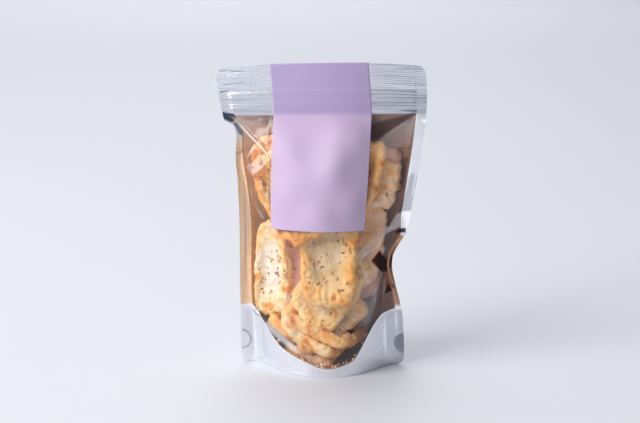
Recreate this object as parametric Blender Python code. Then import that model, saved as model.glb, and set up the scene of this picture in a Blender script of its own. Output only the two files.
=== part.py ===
"""A sealed stand-up pouch of sesame rice crackers, with a paper label folded over its top.

The pouch is three films welded together: a front film, a back film and a folded gusset that
opens into the base.  It is modelled as the closed solid that the filled pouch takes up.
Metres, +Z up, the front faces -Y, and the origin is the middle of the base on the table.
Run it with: blender --background --python part.py
"""

import math

import bmesh
import bpy
from mathutils import Vector

# The flat pouch, before filling
FLAT_WIDTH = 0.140
HEIGHT = 0.206
CORNER_RADIUS = 0.005

# The filled pouch
WELD_THICKNESS = 0.0010  # the two films and the zip tape where nothing is between them
WELD_LEFT = 0.0085  # how wide the flat fin stays, on the left and on the right
WELD_RIGHT = 0.0060
BULGE_CENTRE = 0.004  # the fill lies a little to the right of the middle

# Height, left edge, right edge, how far the front bulges, how far the back bulges.
# The right edge buckles inwards above the gusset, and the left one tucks in under the zip.
SECTIONS = (
    (0.0000, -0.0543, 0.0575, 0.0345, 0.0340),
    (0.0300, -0.0544, 0.0567, 0.0355, 0.0350),
    (0.0580, -0.0546, 0.0510, 0.0355, 0.0340),
    (0.0730, -0.0546, 0.0492, 0.0345, 0.0325),
    (0.0940, -0.0545, 0.0588, 0.0315, 0.0295),
    (0.1260, -0.0555, 0.0648, 0.0255, 0.0235),
    (0.1500, -0.0567, 0.0688, 0.0160, 0.0150),
    (0.1600, -0.0566, 0.0698, 0.0100, 0.0095),
    (0.1670, -0.0596, 0.0704, 0.0040, 0.0040),
    (0.1720, -0.0650, 0.0706, 0.0000, 0.0000),
    (0.1860, -0.0676, 0.0711, 0.0000, 0.0000),
    (0.2060, -0.0696, 0.0700, 0.0000, 0.0000),
)
# A bulged section is (1 - |t| ** POWER) ** FLARE across the width, from low down to high up
BASE_POWER, TOP_POWER = 2.4, 2.1
BASE_FLARE, TOP_FLARE = 1.5, 1.15

# The header: zip ribs, tear notches and the lean of the unfilled top
ZIP_FOOT = 0.172
ZIP_RIBS = (0.1745, 0.1810, 0.1885)
RIB_WIDTH, RIB_HEIGHT = 0.0022, 0.0007
NOTCH_AT, NOTCH_DEPTH, NOTCH_HALF = 0.1865, 0.0022, 0.0012
TILT = 0.022  # rise per metre of width: the left end of the header sits lower
TILT_FROM = 0.090
DROOP = 0.0022  # how far the header's ends hang at the top

# The base: the welded skirts stand on the table, and the gusset between them is a
# shallow hollow that touches the table again in the middle
SKIRT_WIDTH = 0.0015
HOLLOW_DEPTH = 0.0034
PATCH_HALF_X, PATCH_HALF_V = 0.022, 0.55
PATCH_EDGE_X, PATCH_EDGE_V = 0.016, 0.30
HOLLOW_FROM, HOLLOW_OVER = 0.004, 0.010  # the hollow fades out where the base narrows

# The label, a strip of paper glued to the front and folded over the top: its left and right
# edges by height, closer together where the paper wraps round the bulge
LABEL_EDGES = (
    (0.0950, -0.0302, 0.0310),
    (0.1300, -0.0306, 0.0332),
    (0.1720, -0.0310, 0.0346),
    (0.2060, -0.0330, 0.0322),
)
LABEL_FRONT_FOOT = 0.0986
LABEL_BACK_FOOT = 0.1560
LABEL_GAP = 0.0003
LABEL_THICKNESS = 0.0004

# How finely the surfaces are divided
COLUMNS = 32
BASE_STRIPS = 8
LABEL_COLUMNS = 11
FOLD_STEPS = 4
EPSILON = 1e-5


def smooth_step(t):
    t = min(max(t, 0.0), 1.0)
    return t * t * (3.0 - 2.0 * t)


def mix(a, b, t):
    return a + (b - a) * t


def section_at(height):
    """The four section values at a height, on a smooth curve through SECTIONS."""
    last = len(SECTIONS) - 1
    k = 0
    while k < last - 1 and height > SECTIONS[k + 1][0]:
        k += 1
    low, high = SECTIONS[k], SECTIONS[k + 1]
    before, after = SECTIONS[max(k - 1, 0)], SECTIONS[min(k + 2, last)]
    span = high[0] - low[0]
    t = min(max((height - low[0]) / span, 0.0), 1.0)
    values = []
    for i in range(1, 5):
        step = (high[i] - low[i]) / span
        slope_in = gentle_slope((low[i] - before[i]) / max(low[0] - before[0], EPSILON), step)
        slope_out = gentle_slope((after[i] - high[i]) / max(after[0] - high[0], EPSILON), step)
        h00 = 2 * t**3 - 3 * t**2 + 1
        h10 = t**3 - 2 * t**2 + t
        h01 = -2 * t**3 + 3 * t**2
        h11 = t**3 - t**2
        value = h00 * low[i] + h10 * span * slope_in + h01 * high[i] + h11 * span * slope_out
        values.append(value)
    return values


def gentle_slope(one, other):
    """A slope between two neighbouring stretches that never overshoots either."""
    if one * other <= 0:
        return 0.0
    return 2.0 * one * other / (one + other)


def corner_inset(height):
    """How far the rounded top and bottom corners come in from the straight edge."""
    from_end = min(height, HEIGHT - height)
    short = max(CORNER_RADIUS - from_end, 0.0)
    return CORNER_RADIUS - math.sqrt(CORNER_RADIUS**2 - short**2)


def notch_inset(height):
    """The V of the tear notch in each side of the header."""
    return NOTCH_DEPTH * max(0.0, 1.0 - abs(height - NOTCH_AT) / NOTCH_HALF)


def edges_at(height):
    left, right, _, _ = section_at(height)
    inset = corner_inset(height) + notch_inset(height)
    return left + inset, right - inset


def bulge_share(x, height):
    """The share of the full bulge at x: 1 in the middle of the fill, 0 on the side fins."""
    left, right, _, _ = section_at(height)
    if x < BULGE_CENTRE:
        t = (BULGE_CENTRE - x) / (BULGE_CENTRE - left - WELD_LEFT)
    else:
        t = (x - BULGE_CENTRE) / (right - WELD_RIGHT - BULGE_CENTRE)
    if t >= 1.0:
        return 0.0
    rise = smooth_step(height / ZIP_FOOT)
    power = mix(BASE_POWER, TOP_POWER, rise)
    flare = mix(BASE_FLARE, TOP_FLARE, rise)
    return (1.0 - t**power) ** flare


def rib_height(height):
    """The zip's ribs, which stand out of the flat header on both faces."""
    total = 0.0
    for rib in ZIP_RIBS:
        t = abs(height - rib) / (RIB_WIDTH / 2)
        if t < 1.0:
            total += RIB_HEIGHT * math.cos(math.pi / 2 * t) ** 2
    return total


def lifted(x, height):
    """The true height of a point: the unfilled top leans to the left and its ends droop."""
    tilt = TILT * x * smooth_step((height - TILT_FROM) / (ZIP_FOOT - TILT_FROM))
    droop = DROOP * abs(x / (FLAT_WIDTH / 2)) ** 3 * smooth_step((height - ZIP_FOOT) / 0.02)
    return height + tilt - droop


def skin(x, height, side):
    """A point of the front (side -1) or back (side +1) skin."""
    _, _, front, back = section_at(height)
    bulge = (front if side < 0 else back) * bulge_share(x, height)
    depth = WELD_THICKNESS / 2 + bulge + rib_height(height)
    return Vector((x, side * depth, lifted(x, height)))


def skin_normal(x, height, side):
    """The outward normal of the skin, from its slopes either way."""
    step = 0.0004
    across = skin(x + step, height, side) - skin(x - step, height, side)
    up = skin(x, height + step, side) - skin(x, height - step, side)
    return (across.cross(up) * -side).normalized()


def skin_spot(x, height, side):
    return skin(x, height, side), skin_normal(x, height, side)


def spaced(start, end, steps):
    """Evenly spaced heights from start up to, but without, end."""
    return [mix(start, end, k / steps) for k in range(steps)]


def pouch_rows():
    """Heights of the rows: close together at the corners, under the zip and on its ribs."""
    rows = spaced(0.0, CORNER_RADIUS, 4) + spaced(CORNER_RADIUS, 0.150, 21)
    rows += spaced(0.150, ZIP_FOOT, 6) + [ZIP_FOOT]
    for rib in ZIP_RIBS:
        rows += [rib + RIB_WIDTH / 2 * k for k in (-1, -0.5, 0, 0.5, 1)]
    rows += [NOTCH_AT - NOTCH_HALF, NOTCH_AT, NOTCH_AT + NOTCH_HALF]
    rows += spaced(0.191, HEIGHT - CORNER_RADIUS, 3) + spaced(HEIGHT - CORNER_RADIUS, HEIGHT, 4)
    rows.append(HEIGHT)
    rows.sort()
    kept = [rows[0]]
    for row in rows[1:]:
        if row - kept[-1] > 0.0004:
            kept.append(row)
    kept[-1] = HEIGHT
    return kept


def hollow_at(x, v):
    """How high the gusset's underside stands over the table, at v = -1 front to 1 back."""
    along = smooth_step((abs(x) - PATCH_HALF_X) / PATCH_EDGE_X)
    across = smooth_step((abs(v) - PATCH_HALF_V) / PATCH_EDGE_V)
    return HOLLOW_DEPTH * max(along, across)


def add_grid(mesh, rows, flip):
    """Faces between neighbouring rows of vertices."""
    for below, above in zip(rows, rows[1:]):
        for i in range(len(below) - 1):
            corners = [below[i], below[i + 1], above[i + 1], above[i]]
            corners = list(dict.fromkeys(corners))
            if len(corners) > 2:
                mesh.faces.new(corners[::-1] if flip else corners)


def base_rows(mesh, front, back):
    """The underside between the fins: strips from the front skirt's edge to the back one's."""
    inner = [mix(-1.0, 1.0, (k + 0.5) / BASE_STRIPS) for k in range(BASE_STRIPS)]
    strips = [(-1.0, 0.0)] + [(v, 1.0) for v in inner] + [(1.0, 0.0)]
    rows = [front]
    for v, raised in strips:
        row = []
        for low, high in zip(front, back):
            depth = (high.co.y - low.co.y) / 2
            centre = (high.co.y + low.co.y) / 2
            reach = max(depth - SKIRT_WIDTH, depth * 0.4)
            room = smooth_step((depth - HOLLOW_FROM) / HOLLOW_OVER)
            z = hollow_at(low.co.x, v) * raised * room
            row.append(mesh.verts.new((low.co.x, centre + v * reach, z)))
        rows.append(row)
    return rows + [back]


def make_pouch():
    mesh = bmesh.new()
    heights = pouch_rows()
    skins = {-1: [], 1: []}
    for height in heights:
        left, right = edges_at(height)
        for side, rows in skins.items():
            xs = [mix(left, right, i / COLUMNS) for i in range(COLUMNS + 1)]
            rows.append([mesh.verts.new(skin(x, height, side)) for x in xs])
    front, back = skins[-1], skins[1]
    add_grid(mesh, front, flip=False)
    add_grid(mesh, back, flip=True)
    for column, flip in ((0, False), (COLUMNS, True)):
        strip = [[row_b[column], row_f[column]] for row_f, row_b in zip(front, back)]
        add_grid(mesh, strip, flip)
    add_grid(mesh, [front[-1], back[-1]], flip=False)
    close_base(mesh, front[0], back[0])
    return finish_mesh(mesh, "pouch")


def close_base(mesh, front, back):
    """The underside, with the fins' own narrow bottom edges at both ends."""
    ends = [front.pop(0), back.pop(0), front.pop(), back.pop()]
    rows = base_rows(mesh, front, back)
    add_grid(mesh, rows, flip=True)
    left, right = [row[0] for row in rows], [row[-1] for row in rows]
    mesh.faces.new([ends[0], *left, ends[1]])
    mesh.faces.new([ends[3], *right[::-1], ends[2]])


def finish_mesh(mesh, name):
    bmesh.ops.recalc_face_normals(mesh, faces=mesh.faces)
    bmesh.ops.triangulate(mesh, faces=[face for face in mesh.faces if len(face.verts) > 3])
    data = bpy.data.meshes.new(name)
    mesh.to_mesh(data)
    mesh.free()
    data.shade_smooth()
    data.set_sharp_from_angle(angle=math.radians(40))
    made = bpy.data.objects.new(name, data)
    bpy.context.scene.collection.objects.link(made)
    return made


def label_x(share, height):
    """x of the label's column at share 0 (left edge) to 1 (right edge) at a height."""
    k = 0
    while k < len(LABEL_EDGES) - 2 and height > LABEL_EDGES[k + 1][0]:
        k += 1
    low, high = LABEL_EDGES[k], LABEL_EDGES[k + 1]
    t = (height - low[0]) / (high[0] - low[0])
    return mix(mix(low[1], high[1], t), mix(low[2], high[2], t), share)


def label_path(share):
    """Points and normals of the skin under one label column: up the front, over, down the back."""
    heights = pouch_rows()
    front = [LABEL_FRONT_FOOT] + [h for h in heights if h > LABEL_FRONT_FOOT + 0.001]
    back = [h for h in heights[::-1] if h > LABEL_BACK_FOOT + 0.001] + [LABEL_BACK_FOOT]
    path = [skin_spot(label_x(share, h), h, -1) for h in front]
    top = skin(label_x(share, HEIGHT), HEIGHT, -1)
    top.y = 0.0
    for k in range(FOLD_STEPS + 1):
        angle = math.pi * k / FOLD_STEPS
        normal = Vector((0.0, -math.cos(angle), math.sin(angle)))
        reach = Vector((0.0, normal.y * WELD_THICKNESS / 2, 0.0))
        path.append((top + reach + Vector((0.0, 0.0, LABEL_GAP)), normal))
    path += [skin_spot(label_x(share, h), h, 1) for h in back]
    return path


def make_label():
    mesh = bmesh.new()
    inner, outer = [], []
    for i in range(LABEL_COLUMNS + 1):
        path = label_path(i / LABEL_COLUMNS)
        inner.append([mesh.verts.new(p + n * LABEL_GAP) for p, n in path])
        outer.append([mesh.verts.new(p + n * (LABEL_GAP + LABEL_THICKNESS)) for p, n in path])
    add_grid(mesh, inner, flip=False)
    add_grid(mesh, outer, flip=True)
    for end in (0, -1):
        add_grid(mesh, [inner[end], outer[end]], flip=end == 0)
        edge = [[i_column[end], o_column[end]] for i_column, o_column in zip(inner, outer)]
        add_grid(mesh, edge, flip=end == -1)
    return finish_mesh(mesh, "label")


def make_material(name, colour, roughness, metallic):
    material = bpy.data.materials.new(name)
    material.use_nodes = True
    shader = material.node_tree.nodes["Principled BSDF"]
    shader.inputs["Base Color"].default_value = (*colour, 1.0)
    shader.inputs["Roughness"].default_value = roughness
    shader.inputs["Metallic"].default_value = metallic
    return material


def main():
    for old in list(bpy.data.objects):
        bpy.data.objects.remove(old)
    pouch = make_pouch()
    pouch.data.materials.append(make_material("pouch_film", (0.62, 0.52, 0.44), 0.3, 0.4))
    label = make_label()
    label.data.materials.append(make_material("label_paper", (0.50, 0.38, 0.66), 0.6, 0.0))


main()
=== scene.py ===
import math

import bpy
import numpy as np
from mathutils import Matrix, Vector


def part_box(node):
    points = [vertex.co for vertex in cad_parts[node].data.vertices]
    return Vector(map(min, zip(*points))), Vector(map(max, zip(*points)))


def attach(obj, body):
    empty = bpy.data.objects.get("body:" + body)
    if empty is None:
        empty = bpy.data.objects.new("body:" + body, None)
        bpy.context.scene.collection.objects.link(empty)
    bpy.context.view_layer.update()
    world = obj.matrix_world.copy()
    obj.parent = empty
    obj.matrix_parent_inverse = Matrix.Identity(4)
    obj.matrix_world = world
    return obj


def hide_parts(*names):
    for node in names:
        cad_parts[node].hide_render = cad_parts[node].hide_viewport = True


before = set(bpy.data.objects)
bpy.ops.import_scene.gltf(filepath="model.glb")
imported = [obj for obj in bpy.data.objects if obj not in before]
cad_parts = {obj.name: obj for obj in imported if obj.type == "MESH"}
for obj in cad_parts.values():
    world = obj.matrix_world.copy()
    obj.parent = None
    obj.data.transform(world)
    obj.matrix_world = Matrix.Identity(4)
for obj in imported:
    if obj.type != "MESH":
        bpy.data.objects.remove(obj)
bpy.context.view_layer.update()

# Lengths are in millimetres until a mesh is made.  The front of the pouch faces -Y.
MM = 0.001
BODY = "root"

# ---------------------------------------------------------------- sizes of the pouch
POUCH_LOW, POUCH_HIGH = (Vector(corner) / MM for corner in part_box("pouch"))
LABEL_LOW, LABEL_HIGH = (Vector(corner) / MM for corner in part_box("label"))
HEIGHT = 206.0
ZIP_FOOT = 172.0
CRIMP_FOOT = 191.5
CORNER = 5.5
PUNCH_HEIGHT, PUNCH_RADIUS = 15.8, 6.4
SEAL = 0.12  # half the thickness of two welded films
TILT, TILT_FROM = 0.022, 90.0
DROOP = 2.8


def smooth_step(t):
    t = np.clip(t, 0.0, 1.0)
    return t * t * (3.0 - 2.0 * t)


def curve(*points):
    """A smooth function through (place, value) points that doesn't overshoot between them."""
    places, values = np.array(points, float).T
    spans = np.diff(places)
    steps = np.diff(values) / spans
    slopes = np.zeros(len(places))
    same = steps[:-1] * steps[1:] > 0
    slopes[1:-1][same] = 2 * steps[:-1][same] * steps[1:][same] / (steps[:-1] + steps[1:])[same]
    slopes[0], slopes[-1] = steps[0], steps[-1]

    def at(place):
        place = np.clip(np.asarray(place, float), places[0], places[-1])
        k = np.clip(np.searchsorted(places, place) - 1, 0, len(spans) - 1)
        t = (place - places[k]) / spans[k]
        rise = values[k] * (2 * t**3 - 3 * t**2 + 1) + values[k + 1] * (3 * t**2 - 2 * t**3)
        lean = slopes[k] * (t**3 - 2 * t**2 + t) + slopes[k + 1] * (t**3 - t**2)
        return rise + lean * spans[k]

    return at


# The outline by height: the left side tucks in under the zip, the right one buckles at 74
LEFT_EDGE = curve(
    (0, -54.3), (30, -54.4), (58, -54.6), (94, -54.5), (126, -55.5), (146, -56.8), (158, -56.2),
    (164.5, -57.4), (167.2, -60.5), (169, -64.2), (172, -65.2), (186, -67.6), (198, -69.3), (206, -69.6),
)
RIGHT_EDGE = curve(
    (0, 57.6), (9, 57.7), (32, 56.7), (45, 54.4), (60, 50.7), (70, 48.9), (76, 49.4), (84, 53.0),
    (93, 58.3), (110, 61.9), (126, 64.7), (155, 69.0), (172, 70.7), (187, 71.1), (200, 70.2), (206, 70.0),
)
# The side welds: their width as seen from the front, and how far forward they lean
LEFT_FIN = curve((0, 9.0), (36, 8.6), (60, 8.0), (100, 7.4), (130, 6.0), (150, 4.2), (164, 3.4), (170, 5.0), (206, 5.5))
RIGHT_FIN = curve((0, 6.4), (36, 5.6), (43, 3.6), (88, 3.0), (97, 4.6), (106, 6.2), (130, 6.6), (206, 6.7))
LEFT_LEAN = curve((0, 0.0), (35, -0.10), (60, -0.30), (140, -0.30), (166, -0.2), (175, 0.0), (206, 0.0))
RIGHT_LEAN = curve((0, 0.0), (35, -0.10), (60, -0.5), (95, -0.45), (165, -0.30), (175, 0.0), (206, 0.0))
# How far the front and the back bulge in the middle, by height
FRONT_BULGE = curve(
    (0, 34.5), (30, 35.3), (58, 35.2), (76, 34.0), (98, 30.0), (126, 23.0), (150, 13.5), (162, 7.0), (172, 0.5),
)
BACK_BULGE = curve(
    (0, 34.0), (30, 34.8), (58, 33.5), (76, 32.0), (98, 28.0), (126, 22.0), (150, 13.0), (162, 6.5), (172, 0.5),
)
BULGE_CENTRE = 4.5
BULGE_POWER = curve((0, 2.4), (50, 2.3), (100, 2.1), (172, 2.1))
BULGE_FLARE = curve((0, 1.5), (45, 1.35), (90, 1.1), (172, 1.1))

# The upper edge of the foil base, where the gusset is welded to the front film
BASE_WELD = curve(
    (-60, 40.5), (-48, 40.5), (-42, 38), (-38.5, 33), (-31.5, 23.5), (-24, 16.5), (-8, 10), (7, 5.5),
    (22, 9), (25, 11), (28.5, 16), (39, 33.5), (44, 38), (52, 39.5), (60, 38.5),
)

# Creases of the clear film and the foil: points (x, z), how far they stand out, how wide they are, and how bright a
# painted highlight runs along them (below zero, a painted dark line)
CREASES = (
    # from the left end of the zip down to the label
    (((-59, 169.5), (-52, 163), (-46, 157), (-39.5, 152), (-34, 147), (-33, 142)), 2.2, 1.3, 1.0),
    (((-55.5, 168.5), (-41.5, 156.5), (-37.5, 152)), 0.4, 0.9, 0.45),
    (((-44, 152), (-49, 142)), 0.9, 0.9, 0.6),
    (((-50.5, 154), (-50.5, 142)), 0.5, 0.8, 0.35),
    (((-33, 142), (-42, 133), (-29, 131)), 1.0, 0.7, -0.5),
    (((-60, 170), (-50, 167.5), (-37, 165.5)), 0.6, 1.6, 0.25),
    (((-43, 166), (-32.5, 170.5)), 0.5, 1.4, 0.22),
    # down the left side
    (((-53, 138), (-51, 120), (-50.5, 46)), 0.4, 1.1, -0.42),
    # the fan at the right end of the zip
    (((64.5, 172.5), (56, 167), (42, 158.5)), 1.2, 1.2, 0.32),
    (((41, 152), (49, 153.5), (57, 151.5), (59.5, 146.5)), 0.5, 0.8, 0.25),
    # round the dent in the right side
    (((51.5, 98), (45, 97), (40.5, 86.5), (32.5, 83), (26.5, 76)), 1.8, 1.8, 0.45),
    (((27, 82), (34, 62), (36.5, 74)), 0.9, 0.7, 0.60),
    (((37, 74.5), (42.5, 66), (37.5, 53), (39, 44.5)), 0.9, 0.8, 0.45),
    (((46, 65.5), (44, 58), (43.5, 44)), 0.8, 0.7, 0.35),
    (((48.5, 64), (50, 52.5), (52, 40.5)), 0.6, 0.6, 0.35),
    (((44.5, 75), (50.5, 88)), 0.8, 1.0, 0.45),
    # soft pleats of the foil base
    (((-43.5, 39), (-44.5, 22)), 0.6, 1.4, 0.25),
    (((44.5, 36), (45.5, 8)), 0.8, 1.8, 0.35),
    (((51.5, 37.5), (52.5, 24)), 0.5, 1.2, 0.3),
)
# Flat facets between them, painted as reflections (tone above 0) and as shade (tone below 0): the corners (x, z) of
# each, how soft its edge is, and its tone
FACETS = (
    (((-49, 137), (-47, 140), (-34, 141), (-42, 132)), 1.2, 0.26),
    (((65, 172), (37, 155), (60, 152)), 2.5, 0.20),
    (((56.5, 117), (63, 119), (61.5, 108), (53, 107)), 1.8, -0.50),
    (((48, 100), (52, 106), (61, 107), (60, 98), (45, 94)), 1.6, 0.55),
    (((51, 92), (52, 95), (58, 96), (58, 93)), 0.8, -1.0),
    (((54.5, 91.5), (57, 92.5), (57, 90)), 0.8, 0.9),
    (((41, 83), (35.5, 76.5), (42.5, 66.5), (46, 65.5), (45, 75)), 1.0, -1.0),
    (((46.5, 57.5), (44, 51), (49.5, 52)), 0.9, -1.0),
    (((20, 32.5), (26.5, 32), (23, 28.5)), 1.0, -1.0),
)
# Soft painted light and shade: a tapered stroke (x, z) to (x, z), its two radii, how soft its edge is, and how light
# (1) or dark (-1) it is
STROKES = (
    # the right weld darkens downwards, in painted shade
    ((67.6, 171.0), (63.0, 126.0), 3.4, 3.4, 1.2, -0.28),
    ((62.8, 130.0), (59.0, 112.0), 3.0, 3.4, 3.0, -0.55),
    # the header: painted shade at the kinks at its ends and in a strip above the window, and thin dark lines
    ((-58, 174.0), (-34, 174.0), 1.6, 1.6, 3.0, -0.28),
    ((36, 176.8), (62, 176.8), 1.2, 1.2, 2.5, -0.30),
    ((-66, 171.0), (-59.5, 169.3), 2.2, 2.8, 1.4, -0.95),
    ((-56.5, 165.0), (-53.2, 159.0), 1.2, 1.5, 1.6, -0.70),
    ((64, 174.9), (54, 175.4), 0.7, 0.3, 0.6, -0.80),
    ((-66.5, 186.4), (-60.5, 187.7), 0.5, 0.2, 0.4, -0.80),
    ((-64.5, 191.3), (-51, 193.0), 0.3, 0.15, 0.4, -0.70),
    ((63.8, 173.0), (63.2, 204.0), 0.15, 0.15, 0.6, -0.42),
    ((-60.8, 174.0), (-62.8, 204.0), 0.15, 0.15, 0.6, -0.20),
    # painted grey shade on the film under the left end of the zip
    ((-52.0, 168.6), (-34.0, 168.0), 1.0, 3.0, 2.5, -0.34),
    ((-56.0, 145.0), (-51.5, 147.5), 1.0, 1.2, 1.8, -0.35),
    ((-57.4, 140.0), (-56.4, 131.0), 1.2, 1.0, 2.0, -0.42),
    # painted shade and a faint painted sheen on the fan at the upper right
    ((64, 173.6), (38, 162.5), 0.4, 5.0, 2.0, -0.70),
    ((63, 170.0), (46, 150.0), 0.5, 6.0, 3.0, 0.16),
    ((60.7, 173.0), (56.3, 154.0), 0.8, 1.5, 1.0, -0.50),
    ((57.6, 142.0), (53.6, 122.0), 1.8, 1.4, 1.6, -0.50),
    # dark lines along both sides of the right weld
    ((63.8, 170.0), (54.6, 124.0), 0.25, 0.25, 0.6, -0.55),
    ((70.0, 172.0), (60.6, 108.0), 0.5, 0.6, 0.8, -0.30),
    # painted glints on facets at the upper left
    ((-42.4, 110.5), (-37.6, 104.6), 0.5, 1.4, 2.2, 0.26),
    ((-37.5, 130.0), (-33.5, 116.0), 0.6, 1.2, 1.6, 0.12),
    # painted highlight and shade round the dent in the right side
    ((45.0, 96.5), (30.0, 83.5), 2.2, 1.4, 1.6, 0.38),
    ((50.0, 89.0), (44.0, 86.0), 1.4, 2.4, 2.5, -0.30),
    # a painted milky reflection on the film over the lower right
    ((43.0, 96.0), (28.0, 81.0), 2.6, 1.6, 2.5, 0.22),
    ((36.0, 66.0), (30.0, 42.0), 3.0, 7.0, 7.0, 0.15),
    ((38.5, 54.0), (33.0, 36.0), 2.0, 2.4, 3.0, 0.26),
    # a painted grey shimmer of reflected light between the lowest crackers and the weld
    ((-34.0, 29.5), (-14.0, 18.0), 2.8, 2.0, 3.5, 0.50),
    ((-12.0, 17.5), (0.0, 12.0), 1.2, 0.8, 3.0, 0.16),
    # painted shade on the foil base, darker towards the right
    ((-49.5, 36.0), (-48.5, 8.0), 3.0, 4.0, 3.0, -0.10),
    ((-38.5, 24.0), (-36.4, 8.0), 1.5, 2.5, 2.5, -0.12),
    ((42.8, 30.0), (43.3, 16.0), 1.0, 1.6, 2.0, -0.22),
    ((50.6, 36.0), (52.0, 8.0), 1.2, 3.0, 3.0, -0.34),
    ((55.2, 38.0), (56.4, 4.0), 1.2, 2.0, 2.0, -0.42),
)


def edges(h):
    return LEFT_EDGE(h), RIGHT_EDGE(h)


def weld_lines(h):
    left, right = edges(h)
    return left + LEFT_FIN(h), right - RIGHT_FIN(h)


def bulge_share(x, h):
    """1 in the middle of the fill and 0 on the side welds."""
    left, right = weld_lines(h)
    t = np.where(x < BULGE_CENTRE, (BULGE_CENTRE - x) / (BULGE_CENTRE - left), (x - BULGE_CENTRE) / (right - BULGE_CENTRE))
    t = np.clip(t, 0.0, 1.0)
    return (1.0 - t ** BULGE_POWER(h)) ** BULGE_FLARE(h)


def fin_lean(x, h):
    """How far back a point of a side weld lies from the weld's inner line."""
    left, right = weld_lines(h)
    return LEFT_LEAN(h) * np.maximum(left - x, 0.0) + RIGHT_LEAN(h) * np.maximum(x - right, 0.0)


def bow(x, h):
    """The unfilled header bows gently forward in its middle."""
    return -1.6 * (1.0 - (x / 70.0) ** 2) * smooth_step((h - 150.0) / 50.0)


def lifted(x, h):
    """The true height: the header leans to the left and its ends droop."""
    tilt = TILT * x * smooth_step((h - TILT_FROM) / (ZIP_FOOT - TILT_FROM))
    droop = DROOP * np.abs(x / 70.0) ** 3 * smooth_step((h - ZIP_FOOT) / 20.0)
    return h + tilt - droop


def bump(h, centre, width):
    t = np.clip(np.abs(h - centre) / (width / 2), 0.0, 1.0)
    return np.cos(math.pi / 2 * t) ** 2


def header_relief(h):
    """The crimped heat seal above, and the ribs of the zip below it."""
    ribs = 0.45 * bump(h, 187.6, 1.5) + 0.30 * bump(h, 185.4, 1.1)
    ribs = ribs + 0.50 * bump(h, 179.4, 1.6) + 0.35 * bump(h, 177.3, 1.2)
    tape = 0.30 * smooth_step((h - 173.0) / 1.6) * smooth_step((189.6 - h) / 1.2)
    return ribs + tape


def crimp_relief(x, h):
    """The fine ridges of the heat seal along the top, which run on over the side welds."""
    wander = 0.25 * np.sin(x / 9.0 + 1.0) + 0.15 * np.sin(x / 3.7)
    ridges = 0.5 + 0.5 * np.cos(2 * math.pi * (h - HEIGHT + wander) / 1.35)
    depth = 0.16 + 0.07 * np.sin(x / 11.0 + h / 2.0)
    return depth * ridges * smooth_step((h - CRIMP_FOOT) / 0.8) * smooth_step((HEIGHT - 0.4 - h) / 0.8)


def weld_bead(x, h):
    """The edge of the base weld stands out as a thin bead."""
    return 0.45 * np.exp(-(((h - BASE_WELD(x)) / 0.7) ** 2))


def along_line(x, z, points):
    """Distance from a bent line, and how far along it the nearest point is, from 0 to 1."""
    points = np.array(points, float)
    spans = np.diff(points, axis=0)
    lengths = np.hypot(*spans.T)
    nearest, along, done = np.full(x.shape, np.inf), np.zeros(x.shape), 0.0
    for start, span, length in zip(points, spans, lengths):
        t = ((x - start[0]) * span[0] + (z - start[1]) * span[1]) / length**2
        t = np.clip(t, 0.0, 1.0)
        away = np.hypot(x - start[0] - t * span[0], z - start[1] - t * span[1])
        along = np.where(away < nearest, (done + t * length) / lengths.sum(), along)
        nearest = np.minimum(nearest, away)
        done += length
    return nearest, along


def facet_share(x, z, corners, soft):
    """1 inside a facet with straight edges and 0 outside it."""
    corners = np.array(corners, float)
    sides = np.roll(corners, -1, axis=0) - corners
    turn = np.sign(sides[0][0] * sides[1][1] - sides[0][1] * sides[1][0])
    inside = np.full(x.shape, np.inf)
    for corner, side in zip(corners, sides):
        away = side[0] * (z - corner[1]) - side[1] * (x - corner[0])
        inside = np.minimum(inside, turn * away / np.hypot(*side))
    return smooth_step(inside / soft + 0.5)


def crease_relief(x, z):
    """How far the creases lift the front."""
    total = np.zeros_like(x)
    for points, height, width, gleam in CREASES:
        away, along = along_line(x, z, points)
        total += height * (0.3 + 0.7 * np.sin(math.pi * along)) * np.exp(-np.hypot(away, 0.25) / width)
    return total


def punch_mark(x, h):
    """Distance inside the half round marks that the base is punched with at both side welds."""
    left, right = edges(h)
    away = np.minimum(np.hypot(x - left, h - PUNCH_HEIGHT), np.hypot(x - right, h - PUNCH_HEIGHT))
    return PUNCH_RADIUS - away


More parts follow.
